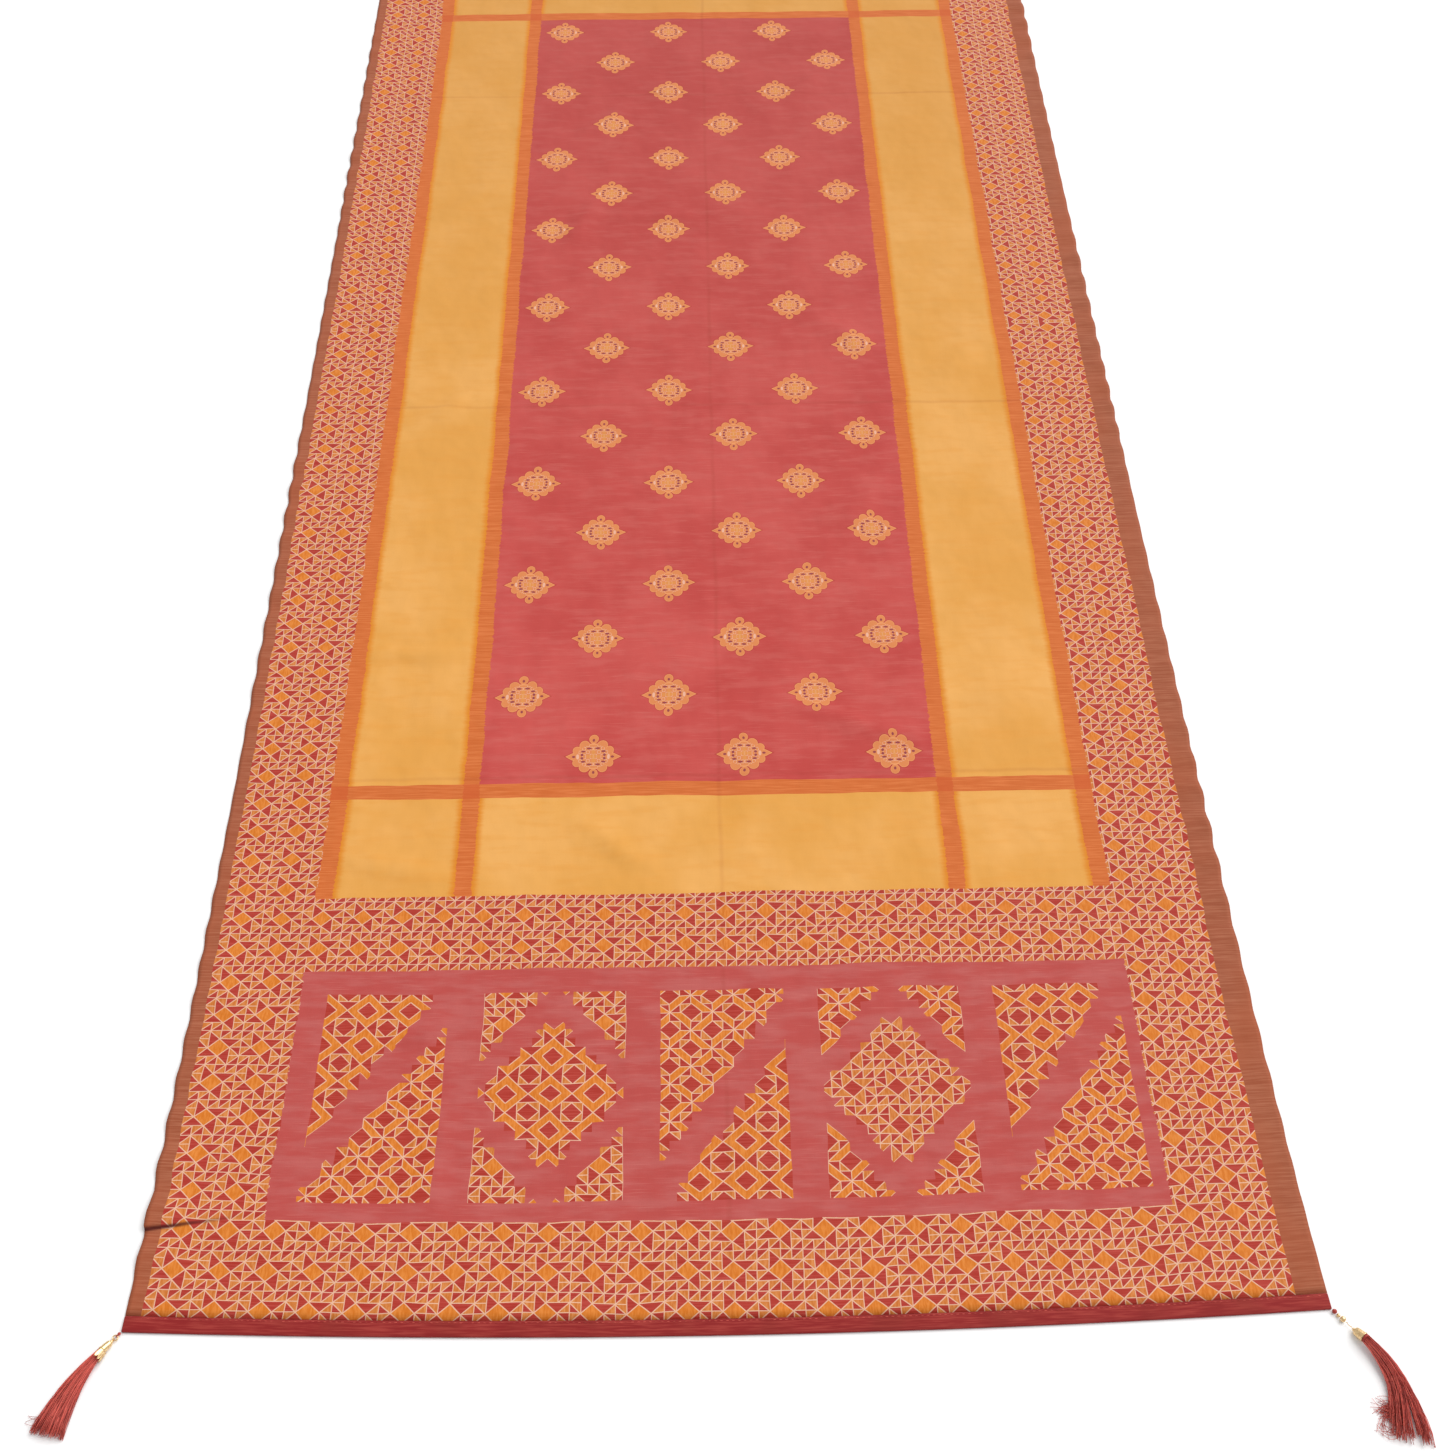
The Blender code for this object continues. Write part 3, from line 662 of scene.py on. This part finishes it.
def wire_ring(bm, centre, radius, wire, tilt, steps=28, sides=10):
    """A closed ring of round wire, spun about its own axis and then tilted."""
    made = bmesh.ops.create_circle(bm, cap_ends=False, radius=wire, segments=sides)["verts"]
    bmesh.ops.rotate(bm, cent=(0, 0, 0), matrix=Matrix.Rotation(math.pi / 2, 3, "X"), verts=made)
    bmesh.ops.translate(bm, vec=(radius, 0, 0), verts=made)
    edges = list({edge for vert in made for edge in vert.link_edges})
    before = set(bm.verts) - set(made)
    bmesh.ops.spin(bm, geom=edges, cent=(0, 0, 0), axis=(0, 0, 1), angle=2 * math.pi, steps=steps,
                   use_merge=True)
    ring = [vert for vert in bm.verts if vert not in before]
    bmesh.ops.rotate(bm, cent=(0, 0, 0), matrix=tilt.to_matrix(), verts=ring)
    bmesh.ops.translate(bm, vec=centre, verts=ring)


def straight_rod(bm, radius, sides, steps, length):
    """A closed rod that stands on the floor, cut across into even steps. Returns its vertices."""
    made = bmesh.ops.create_cone(bm, cap_ends=True, segments=sides, radius1=radius, radius2=radius,
                                 depth=length)["verts"]
    before = set(bm.verts) - set(made)
    bmesh.ops.translate(bm, vec=(0, 0, length / 2), verts=made)
    uprights = {edge for vert in made for edge in vert.link_edges if edge.calc_length() > 0.99 * length}
    bmesh.ops.subdivide_edges(bm, edges=list(uprights), cuts=steps - 1, use_grid_fill=True)
    return [vert for vert in bm.verts if vert not in before]


def smooth_and_closed(bm):
    """Faces turned outwards and shaded smooth."""
    bmesh.ops.recalc_face_normals(bm, faces=bm.faces)
    for face in bm.faces:
        face.smooth = True


def mapped_thread(bm, shade):
    """Gives a thread piece its map, so that the thread material knows its shade."""
    thread_map = bm.loops.layers.uv.new("thread")
    for face in bm.faces:
        for loop in face.loops:
            loop[thread_map].uv = shade, loop.vert.co.z * 40


def wound_knot(centre, radius):
    """A knot of thread: a core with five turns of thread wound over it, each another way."""
    bm = bmesh.new()
    core = bmesh.ops.create_icosphere(bm, subdivisions=2, radius=radius * 0.66)["verts"]
    bmesh.ops.translate(bm, vec=centre, verts=core)
    for angle, lean, share in ((0, 0, 0.98), (0, 1.0, 0.96), (0, -1.0, 0.96), (1.2, 1.4, 0.93),
                               (-1.1, 1.3, 0.93)):
        tilt = Vector((math.sin(lean) * math.cos(angle), math.sin(lean) * math.sin(angle), math.cos(lean)))
        wire = radius * 0.22
        wire_ring(bm, centre, radius * share - wire, wire, tilt.to_track_quat("Z", "Y"), 20, 8)
    return bm


def gilt_material():
    """Pale polished gilding over brass, with small scratches and darker wear."""
    material, shader, start = new_material("pale gilding")
    where = start.node("ShaderNodeTexCoord", None, None, ("Object",))
    wear = start.node("ShaderNodeTexNoise", None, {"Vector": where, "Scale": 900.0, "Detail": 3.0})
    scratch = start.node("ShaderNodeTexNoise", None, {"Vector": where, "Scale": 5200.0, "Detail": 1.0})
    colour = mixed(ramped(wear, 0.40, 0.72), (0.86, 0.63, 0.34, 1.0), (0.64, 0.40, 0.19, 1.0))
    feed(shader, start, colour, 0.22 + wear * 0.20, scratch * 0.00001, 0.5, {"Metallic": 1.0})
    return material


gilding = gilt_material()
level, upright = Vector((0, 0, 1)).to_track_quat("Z", "Y"), Vector((0, 1, 0)).to_track_quat("Z", "Y")

# The left fastening: looped knot and jump ring
looped_x = PIECE_GAP + LOOPED_KNOT_RADIUS
loop_x = looped_x + LOOP_FROM_KNOT
ring_x = loop_x + RING_RADIUS
cap_loop_x = ring_x + RING_RADIUS
knot_bm = wound_knot(Vector((looped_x, 0, LOOP_HEIGHT)), LOOPED_KNOT_RADIUS)
wire_ring(knot_bm, Vector((loop_x, 0, LOOP_HEIGHT)), LOOP_RADIUS, LOOP_WIRE, upright)
smooth_and_closed(knot_bm)
mapped_thread(knot_bm, 0.2)
at_corners(knot_bm, "looped_knot", "knot", LEFT_TASSEL, maroon_thread, "maroon_thread")
ring_bm = bmesh.new()
wire_ring(ring_bm, Vector((ring_x, 0, LOOP_HEIGHT)), RING_RADIUS, RING_WIRE, level, 36, 12)
smooth_and_closed(ring_bm)
at_corners(ring_bm, "jump_ring", "ring", LEFT_TASSEL, gilding, "gilt_brass")
left_start = Vector((cap_loop_x + LOOP_SUNK, 0, LOOP_HEIGHT))

# The right fastening: knot, two beads and a wire link
knot_x = PIECE_GAP + KNOT_RADIUS
small_x = knot_x + KNOT_RADIUS + PIECE_GAP + SMALL_BEAD_RADIUS
bead_x = small_x + SMALL_BEAD_RADIUS + PIECE_GAP + BEAD_RADIUS
link_x = bead_x + BEAD_RADIUS + PIECE_GAP
knot_bm = wound_knot(Vector((knot_x, 0, KNOT_RADIUS)), KNOT_RADIUS)
smooth_and_closed(knot_bm)
mapped_thread(knot_bm, 0.1)
at_corners(knot_bm, "corner_knot", "knot", RIGHT_TASSEL, maroon_thread, "maroon_thread")
for kind, node_kind, x, radius in (("small_gilt_bead", "bead_small", small_x, SMALL_BEAD_RADIUS),
                                   ("gilt_bead", "bead", bead_x, BEAD_RADIUS)):
    bead_bm = bmesh.new()
    made = bmesh.ops.create_uvsphere(bead_bm, u_segments=24, v_segments=14, radius=radius)["verts"]
    for vert in made:  # shallow flutes, as on a cast bead, and flattened ends round the hole
        turn = math.atan2(vert.co.y, vert.co.x)
        flute = 0.5 + 0.5 * math.cos(FLUTES * turn)
        flute = 1.0 - FLUTE_DEPTH * flute * (1.0 - (vert.co.z / radius) ** 2)
        vert.co = (vert.co.x * flute, vert.co.y * flute, max(-0.92 * radius, min(0.92 * radius, vert.co.z)))
    bmesh.ops.rotate(bead_bm, cent=(0, 0, 0), matrix=Matrix.Rotation(math.pi / 2, 3, "Y"), verts=made)
    bmesh.ops.translate(bead_bm, vec=(x, 0, radius), verts=made)
    smooth_and_closed(bead_bm)
    at_corners(bead_bm, kind, node_kind, RIGHT_TASSEL, gilding, "gilt_brass")
link_bm = bmesh.new()
for aside in (-LINK_ASIDE, LINK_ASIDE):
    for vert in straight_rod(link_bm, LINK_WIRE, 8, 20, LINK_LENGTH):
        twist = Matrix.Rotation(LINK_TWIST * vert.co.z / LINK_LENGTH, 3, "Z")
        vert.co = twist @ (vert.co + Vector((aside, 0, 0)))
bmesh.ops.rotate(link_bm, cent=(0, 0, 0), matrix=Matrix.Rotation(math.pi / 2, 3, "Y"), verts=link_bm.verts)
bmesh.ops.translate(link_bm, vec=(link_x, 0, BEAD_RADIUS), verts=link_bm.verts)
smooth_and_closed(link_bm)
at_corners(link_bm, "twisted_link", "link", RIGHT_TASSEL, gilding, "gilt_brass")
right_start = Vector((link_x + LINK_LENGTH + PIECE_GAP, 0, BEAD_RADIUS))


# ---- The tassel caps ------------------------------------------------------------------------------
# Each cap is a small turned bell of gilt brass, glued over the bound head of the threads. The left
# one is slim and also has a spray of four stamped petals, bent down over the threads on one side.

CAP_LENGTH, CAP_NECK_RADIUS, CAP_LIP, FACETS = 0.0100, 0.0014, 0.0005, 12
CAP_MOUTH_DEPTH, CAP_EDGE = 0.0006, 0.00012
PETALS, FIRST_PETAL, PETAL_STEP = 4, 18, 34  # round the mouth, in degrees from the top
PETAL_LENGTH, PETAL_WIDTH, PETAL_SHEET, PETAL_ROOT = 0.0080, 0.0029, 0.00025, 0.0012


def cap_outline(radius):
    """Half of a cap's section from mouth to neck, as distances from its axis and along it."""
    return (
        (radius, CAP_LENGTH), (radius, 0.92 * CAP_LENGTH), (0.93 * radius, 0.88 * CAP_LENGTH),
        (0.88 * radius, 0.42 * CAP_LENGTH), (0.76 * radius, 0.20 * CAP_LENGTH),
        (CAP_NECK_RADIUS, 0.12 * CAP_LENGTH), (CAP_NECK_RADIUS, 0.0),
    )


def resting_tilt(outline, start_height):
    """The tilt at which a cap whose neck starts at a height just rests on the floor."""
    reaching = [point for point in outline if math.hypot(*point) > start_height]
    return max(math.atan2(*point) - math.asin(start_height / math.hypot(*point)) for point in reaching)


def turned_cap(outline, start, tilt):
    """A faceted cap spun from its outline, with its edges eased, lying along its tilted axis."""
    bm = bmesh.new()
    mouth_radius, inside = outline[0][0], CAP_LENGTH - CAP_MOUTH_DEPTH
    points = [(0.0, inside), (0.80 * mouth_radius, inside), (0.86 * mouth_radius, CAP_LENGTH), *outline,
              (0.0, 0.0)]
    verts = [bm.verts.new((across, 0, along)) for across, along in points]
    edges = [bm.edges.new(pair) for pair in zip(verts, verts[1:])]
    bmesh.ops.spin(bm, geom=edges, cent=(0, 0, 0), axis=(0, 0, 1), angle=2 * math.pi, steps=FACETS,
                   use_merge=True)
    bmesh.ops.remove_doubles(bm, verts=bm.verts, dist=0.00001)
    bmesh.ops.recalc_face_normals(bm, faces=bm.faces)
    rims = [edge for edge in bm.edges if edge.is_manifold and edge.calc_face_angle() > math.radians(28)]
    bmesh.ops.bevel(bm, geom=rims, offset=CAP_EDGE, segments=2, profile=0.5, affect="EDGES", material=-1)
    lying = Matrix.Rotation(math.pi / 2 - tilt, 3, "Y")
    bmesh.ops.rotate(bm, cent=(0, 0, 0), matrix=lying, verts=bm.verts)
    bmesh.ops.translate(bm, vec=start, verts=bm.verts)
    return bm


caps = {}
for tassel, start in ((LEFT_TASSEL, left_start), (RIGHT_TASSEL, right_start)):
    outline = cap_outline(tassel["cap"])
    tilt = resting_tilt(outline, start.z)
    outwards = Vector((math.cos(tilt), 0, math.sin(tilt)))
    caps[tassel["name"]] = start + outwards * (CAP_LENGTH + PIECE_GAP), outwards
    cap_bm = turned_cap(outline, start, tilt)
    if tassel is LEFT_TASSEL:
        wire_ring(cap_bm, Vector((cap_loop_x, 0, LOOP_HEIGHT)), LOOP_RADIUS, LOOP_WIRE, upright)
    bmesh.ops.recalc_face_normals(cap_bm, faces=cap_bm.faces)
    at_corners(cap_bm, f"{tassel['name']}_cap", "cap", tassel, gilding, "gilt_brass")

# The petals are bent from flat leaves. Each starts under the rim and turns down along the threads.
petal_bm = bmesh.new()
mouth, outwards = caps["left"]
upwards = Vector((-outwards.z, 0, outwards.x))
for number in range(PETALS):
    angle = math.radians(FIRST_PETAL + PETAL_STEP * number)
    out = upwards * math.cos(angle) + Vector((0, 1, 0)) * math.sin(angle)
    aside = outwards.cross(out)
    made = bmesh.ops.create_grid(petal_bm, x_segments=4, y_segments=8, size=0.5)["verts"]
    for vert in made:
        share, spread = vert.co.y + 0.5, vert.co.x * 2
        half = PETAL_WIDTH / 2 * (0.45 + 0.55 * math.sin(math.pi * min(1.0, 0.15 + 0.72 * share)))
        half *= 1.0 - max(0.0, share - 0.80) / 0.20 * 0.55
        radius = LEFT_TASSEL["cap"] * (1.03 + 0.50 * share) + 0.0004 * spread * spread
        root = mouth - outwards * PETAL_ROOT
        vert.co = root + outwards * (share * PETAL_LENGTH) + out * radius + aside * (spread * half)
    leaf = list({face for vert in made for face in vert.link_faces})
    grown = bmesh.ops.extrude_face_region(petal_bm, geom=leaf)["geom"]
    raised = [item for item in grown if isinstance(item, bmesh.types.BMVert)]
    bmesh.ops.translate(petal_bm, vec=out * PETAL_SHEET, verts=raised)
smooth_and_closed(petal_bm)
at_corners(petal_bm, "stamped_petals", None, LEFT_TASSEL, gilding, "gilt_brass")


# ---- The tassel skirts ----------------------------------------------------------------------------
# A skirt is a bundle of loose maroon threads, bound at its head and cut across at its end. It lies on
# the floor in a fan that turns aside, and the right one has frayed on its inner side into curls.

THREADS, THREAD_STEPS, THREAD_RADIUS = 270, 9, 0.00026
HEAD_DEPTH, SKIRT_END_HEIGHT, THREAD_FLOOR_GAP, CUT_UNEVEN = 0.0018, 0.0062, 0.0004, 0.0060
TUFT, CURL_RADIUS = 8, 0.00026  # loose curls stand in tufts of so many
FRAYED_SHORT, FRAYED_PART, FRAYED_SIDE = 0.020, 0.0050, 0.12


def straight_thread(steps, radius):
    """A thread of three sides along +Z, one unit long, for bending. Returns it as a mesh."""
    bm = bmesh.new()
    straight_rod(bm, radius, 3, steps, 1.0)
    smooth_and_closed(bm)
    mesh = bpy.data.meshes.new("straight thread")
    bm.to_mesh(mesh)
    bm.free()
    return mesh


def bent_thread(bm, thread_map, pattern, centreline, shade, taper):
    """Adds a copy of the straight thread, bent along a centreline that is given by its share."""
    before = set(bm.verts)
    bm.from_mesh(pattern)
    shares = {}
    for vert in set(bm.verts) - before:
        share = min(max(vert.co.z, 0.0), 1.0)
        shares[vert] = share
        here, ahead = centreline(share), centreline(share + 0.01)
        way = (ahead - here).normalized()
        level_arm = Vector((-way.y, way.x, 0)).normalized()
        high_arm = way.cross(level_arm)
        thin = 1.0 - taper * share
        vert.co = here + (level_arm * vert.co.x + high_arm * vert.co.y) * thin
    for face in {face for vert in shares for face in vert.link_faces}:
        for loop in face.loops:
            loop[thread_map].uv = shade, shares[loop.vert]


def skirt_of_threads(tassel):
    """The loose threads of one tassel in its own frame."""
    mouth, outwards = caps[tassel["name"]]
    head_radius = tassel["cap"] - CAP_LIP
    turn = math.radians(tassel["turn"])
    turn_radius = tassel["skirt"] / turn
    chance = random.Random(tassel["side"] + 5)
    frayed = tassel["frayed"]
    bm = bmesh.new()
    thread_map = bm.loops.layers.uv.new("thread")

    def middle_of(share):
        angle = share * turn
        sideways = Vector((-math.sin(angle), math.cos(angle), 0))
        return Vector((turn_radius * math.sin(angle), turn_radius * (1 - math.cos(angle)), 0)), sideways

    # The bound head fills the mouth of the cap.
    head = bmesh.ops.create_cone(bm, cap_ends=True, segments=24, radius1=head_radius, radius2=head_radius,
                                 depth=HEAD_DEPTH)["verts"]
    lying = outwards.to_track_quat("Z", "Y").to_matrix()
    bmesh.ops.rotate(bm, cent=(0, 0, 0), matrix=lying, verts=head)
    bmesh.ops.translate(bm, vec=mouth + outwards * HEAD_DEPTH / 2, verts=head)

    thread = straight_thread(THREAD_STEPS, THREAD_RADIUS)
    root = mouth + outwards * HEAD_DEPTH * 0.6
    for number in range(THREADS):
        place = (number + chance.random()) / THREADS - 0.5
        height = chance.random()
        lock = frayed * (0.5 + 0.5 * math.sin(place * 31 + 2.0)) * (0.55 - place)
        reach = 1.0 - (chance.uniform(0, CUT_UNEVEN) + FRAYED_SHORT * lock) / tassel["skirt"]
        wander, beat, lean = chance.uniform(0.3, 1.0), chance.uniform(4, 9), chance.uniform(0, 6.3)
        start_side = math.sin(place * math.pi) * head_radius * 0.96
        start_rise = (2 * height - 1) * math.sqrt(max(0.0, head_radius**2 * 0.92 - start_side**2))

        def centreline(share):
            along = share * reach
            middle, sideways = middle_of(along)
            width = 2 * head_radius + (tassel["fan"] - 2 * head_radius) * max(0.0, along)
            spread = place * width + (start_side - place * 2 * head_radius) * (1 - eased(share * 3))
            spread += (0.0009 + 0.0014 * frayed) * wander * share * math.sin(beat * share + lean)
            if place < FRAYED_SIDE:  # this side parts from the rest half way down
                spread -= frayed * FRAYED_PART * eased(share * 2 - 0.9)
            mound = SKIRT_END_HEIGHT * (1.0 - 2.6 * place * place)
            low = THREAD_FLOOR_GAP + THREAD_RADIUS + height * max(0.0004, mound)
            fall = eased(share * 1.35)
            point = Vector((root.x, 0, 0)) + middle + sideways * spread
            point.z = (root.z + start_rise) * (1 - fall) + low * fall
            point.z += 0.0005 * wander * fall * abs(math.sin(beat * 0.7 * share + lean))
            return point

        bent_thread(bm, thread_map, thread, centreline, chance.random(), 0.15)

    fine_thread = straight_thread(14, CURL_RADIUS)
    for number in range(tassel["curls"]):
        if number % TUFT == 0:
            tuft_leave, tuft_swing = chance.uniform(0.55, 0.90), chance.uniform(-0.5, 1.0)
            tuft_length, tuft_curl = chance.uniform(0.015, 0.024), chance.uniform(-1.2, 1.2)
        leave = tuft_leave + chance.uniform(-0.03, 0.03)
        middle, sideways = middle_of(leave)
        width = 2 * head_radius + (tassel["fan"] - 2 * head_radius) * leave
        base = Vector((root.x, 0, 0.0012)) + middle - sideways * width * chance.uniform(0.36, 0.48)
        swing = tuft_swing + chance.uniform(-0.3, 0.3)
        away = Matrix.Rotation(-swing, 3, "Z") @ -sideways
        cross = Vector((-away.y, away.x, 0))
        length, curl = tuft_length * chance.uniform(0.5, 1.0), tuft_curl + chance.uniform(-0.5, 0.5)
        shade, hop = chance.uniform(0.0, 0.6), chance.uniform(0.0004, 0.0030)

        def curl_line(share):
            bow = math.sin(share * math.pi * 1.1) * curl * 0.45
            point = base + away * (length * share * (1 - 0.25 * abs(curl) * share)) + cross * (length * bow)
            point.z = 0.0006 + hop * math.sin(min(1.0, share) * math.pi)
            return point

        bent_thread(bm, thread_map, fine_thread, curl_line, shade, 0.4)
    smooth_and_closed(bm)
    for mesh in (thread, fine_thread):
        bpy.data.meshes.remove(mesh)
    return bm


for tassel in (LEFT_TASSEL, RIGHT_TASSEL):
    skirt_bm = skirt_of_threads(tassel)
    at_corners(skirt_bm, f"{tassel['name']}_skirt", "skirt", tassel, maroon_thread, "maroon_thread")


# ---- Floor, light and camera ----------------------------------------------------------------------
# A plain white floor under soft light from all round, with one broad lamp high on the right and
# behind. The camera stands at the near end and looks down along the stole.

floor_bm = bmesh.new()
bmesh.ops.create_grid(floor_bm, x_segments=1, y_segments=1, size=12.0)
floor_mesh = bpy.data.meshes.new("floor")
floor_bm.to_mesh(floor_mesh)
floor_bm.free()
floor = bpy.data.objects.new("floor", floor_mesh)
bpy.context.scene.collection.objects.link(floor)
white, white_shader, _ = new_material("white floor")
white_shader.inputs["Base Color"].default_value = (0.93, 0.93, 0.93, 1.0)
white_shader.inputs["Roughness"].default_value = 0.9
white_shader.inputs["Specular IOR Level"].default_value = 0.1
floor_mesh.materials.append(white)

world = bpy.data.worlds.new("soft light")
world.use_nodes = True
world.node_tree.nodes["Background"].inputs["Color"].default_value = (1.0, 1.0, 1.0, 1.0)
world.node_tree.nodes["Background"].inputs["Strength"].default_value = 0.65
bpy.context.scene.world = world
lamp = bpy.data.lights.new("broad lamp", "SUN")
lamp.energy, lamp.angle = 2.64, math.radians(60)
lamp_object = bpy.data.objects.new("broad lamp", lamp)
lamp_object.rotation_euler = Vector((0.75, 0.55, 0.9)).to_track_quat("Z", "Y").to_euler()
bpy.context.scene.collection.objects.link(lamp_object)

camera = bpy.data.cameras.new("camera")
camera.sensor_width, camera.lens = 36.0, 44.22
camera_object = bpy.data.objects.new("camera", camera)
camera_object.location = (-0.0141, -1.6454, 1.350)
camera_object.rotation_euler = (math.radians(38.0), 0.0, math.radians(-1.10))
bpy.context.scene.collection.objects.link(camera_object)
bpy.context.scene.camera = camera_object
bpy.context.scene.view_settings.view_transform = "Standard"
